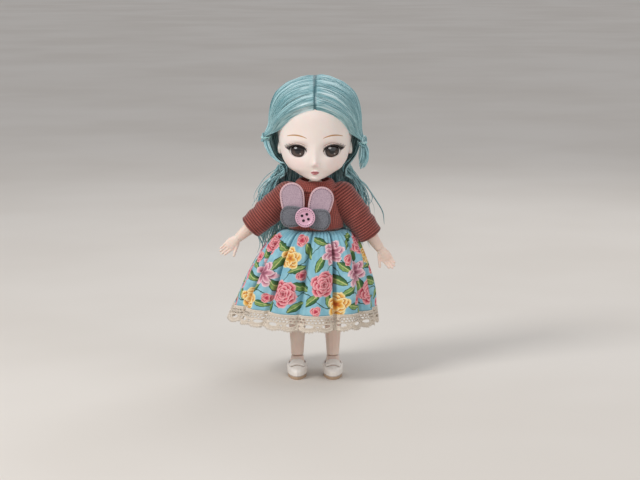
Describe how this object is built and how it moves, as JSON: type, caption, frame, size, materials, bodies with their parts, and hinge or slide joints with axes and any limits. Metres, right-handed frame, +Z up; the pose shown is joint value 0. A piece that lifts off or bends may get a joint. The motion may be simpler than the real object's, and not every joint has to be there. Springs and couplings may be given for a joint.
{
  "type": "jointed fashion doll",
  "caption": "Small jointed fashion doll with long hair, a knitted top with a felt bow, and a gathered print skirt with a lace hem.",
  "frame": {"origin": "on the ground, at the middle of the doll's footprint box, under its soles", "axes": "+Z up the standing doll; it faces -Y and its left side is +X"},
  "size_m": [0.0934, 0.0678, 0.16],
  "materials": {
    "skin": "satin moulded plastic",
    "face": "satin soft plastic, painted brows and lips",
    "eye": "clear domed plastic over a dark brown iris",
    "lash": "fine bristle strip",
    "hair": "shiny synthetic fibre, pale teal",
    "hair_band": "thin clear elastic",
    "knit": "rust red rib knit",
    "print_cotton": "sky blue cotton with a rose print",
    "lace": "cream crochet lace",
    "felt_pink": "dusty pink wool felt",
    "felt_grey": "grey wool felt",
    "button": "pink four hole button",
    "shoe": "cream moulded shoe"
  },
  "bodies": {
    "torso": {"torso_front": "skin", "torso_back": "skin", "sweater_bodice": "knit", "sweater_collar": "knit", "back_fastener": "knit", "skirt": "print_cotton", "lace_hem": "lace", "felt_ear_left": "felt_pink", "felt_ear_right": "felt_pink", "felt_lobe_left": "felt_grey", "felt_lobe_right": "felt_grey", "button": "button"},
    "neck": {"neck_joint": "skin", "hair_back": "hair"},
    "head": {"head_face_shell": "face", "head_back_shell": "face", "eye_left": "eye", "eye_right": "eye", "eyelash_left": "lash", "eyelash_right": "lash", "hair_crown_left": "hair", "hair_crown_right": "hair", "hair_bunch_left": "hair", "hair_bunch_right": "hair", "hair_band_left": "hair_band", "hair_band_right": "hair_band"},
    "shoulder_link_left": {"shoulder_joint_left": "skin"},
    "arm_left": {"upper_arm_left": "skin", "elbow_pin_left": "skin", "sweater_sleeve_left": "knit"},
    "forearm_left": {"forearm_left": "skin"},
    "hand_left": {"hand_left": "skin"},
    "shoulder_link_right": {"shoulder_joint_right": "skin"},
    "arm_right": {"upper_arm_right": "skin", "elbow_pin_right": "skin", "sweater_sleeve_right": "knit"},
    "forearm_right": {"forearm_right": "skin"},
    "hand_right": {"hand_right": "skin"},
    "hip_link_left": {"hip_joint_left": "skin"},
    "thigh_left": {"thigh_left": "skin", "knee_pin_left": "skin"},
    "shin_left": {"shin_left": "skin"},
    "foot_left": {"foot_left": "skin", "shoe_left": "shoe", "shoe_heel_left": "shoe", "shoe_strap_left": "shoe"},
    "hip_link_right": {"hip_joint_right": "skin"},
    "thigh_right": {"thigh_right": "skin", "knee_pin_right": "skin"},
    "shin_right": {"shin_right": "skin"},
    "foot_right": {"foot_right": "skin", "shoe_right": "shoe", "shoe_heel_right": "shoe", "shoe_strap_right": "shoe"}
  },
  "joints": [
    {"name": "neck_turn", "type": "hinge", "parent": "torso", "child": "neck", "pos_m": [0.00378, 0.00013, 0.111], "axis": [0, 0, 1], "range_deg": [-60, 60], "deforming": ["hair_back"]},
    {"name": "head_nod", "type": "hinge", "parent": "neck", "child": "head", "pos_m": [0.00378, 0.00013, 0.111], "axis": [-1, 0, 0], "range_deg": [-8, 12]},
    {"name": "shoulder_swing_left", "type": "hinge", "parent": "torso", "child": "shoulder_link_left", "pos_m": [0.01828, 0.00013, 0.097], "axis": [-1, 0, 0], "range_deg": [-45, 110]},
    {"name": "shoulder_spread_left", "type": "hinge", "parent": "shoulder_link_left", "child": "arm_left", "pos_m": [0.01828, 0.00013, 0.097], "axis": [0, -1, 0], "range_deg": [-10, 50]},
    {"name": "elbow_left", "type": "hinge", "parent": "arm_left", "child": "forearm_left", "pos_m": [0.02918, 0.00013, 0.08144], "axis": [-0.8192, 0, -0.5736], "range_deg": [0, 90], "deforming": ["sweater_sleeve_left"]},
    {"name": "wrist_left", "type": "hinge", "parent": "forearm_left", "child": "hand_left", "pos_m": [0.03836, 0.00013, 0.06833], "axis": [-0.5736, 0, 0.8192], "range_deg": [-90, 90]},
    {"name": "shoulder_swing_right", "type": "hinge", "parent": "torso", "child": "shoulder_link_right", "pos_m": [-0.01072, 0.00013, 0.097], "axis": [-1, 0, 0], "range_deg": [-45, 110]},
    {"name": "shoulder_spread_right", "type": "hinge", "parent": "shoulder_link_right", "child": "arm_right", "pos_m": [-0.01072, 0.00013, 0.097], "axis": [0, 1, 0], "range_deg": [-24, 36]},
    {"name": "elbow_right", "type": "hinge", "parent": "arm_right", "child": "forearm_right", "pos_m": [-0.02506, 0.00013, 0.08453], "axis": [-0.6561, 0, 0.7547], "range_deg": [0, 90], "deforming": ["sweater_sleeve_right"]},
    {"name": "wrist_right", "type": "hinge", "parent": "forearm_right", "child": "hand_right", "pos_m": [-0.03713, 0.00013, 0.07404], "axis": [-0.7547, 0, -0.6561], "range_deg": [-90, 90]},
    {"name": "hip_swing_left", "type": "hinge", "parent": "torso", "child": "hip_link_left", "pos_m": [0.01328, 0.00013, 0.067], "axis": [-1, 0, 0], "range_deg": [-25, 25], "deforming": ["skirt", "lace_hem"]},
    {"name": "hip_spread_left", "type": "hinge", "parent": "hip_link_left", "child": "thigh_left", "pos_m": [0.01328, 0.00013, 0.067], "axis": [0, -1, 0], "range_deg": [0, 22]},
    {"name": "knee_left", "type": "hinge", "parent": "thigh_left", "child": "shin_left", "pos_m": [0.01328, 0.00013, 0.0395], "axis": [1, 0, 0], "range_deg": [0, 55]},
    {"name": "ankle_left", "type": "hinge", "parent": "shin_left", "child": "foot_left", "pos_m": [0.01328, 0.00013, 0.011], "axis": [0, 0, 1], "range_deg": [-20, 20]},
    {"name": "hip_swing_right", "type": "hinge", "parent": "torso", "child": "hip_link_right", "pos_m": [-0.00572, 0.00013, 0.067], "axis": [-1, 0, 0], "range_deg": [-25, 25]},
    {"name": "hip_spread_right", "type": "hinge", "parent": "hip_link_right", "child": "thigh_right", "pos_m": [-0.00572, 0.00013, 0.067], "axis": [0, 1, 0], "range_deg": [0, 22]},
    {"name": "knee_right", "type": "hinge", "parent": "thigh_right", "child": "shin_right", "pos_m": [-0.00572, 0.00013, 0.0395], "axis": [1, 0, 0], "range_deg": [0, 55]},
    {"name": "ankle_right", "type": "hinge", "parent": "shin_right", "child": "foot_right", "pos_m": [-0.00572, 0.00013, 0.011], "axis": [0, 0, 1], "range_deg": [-20, 20]}
  ]
}
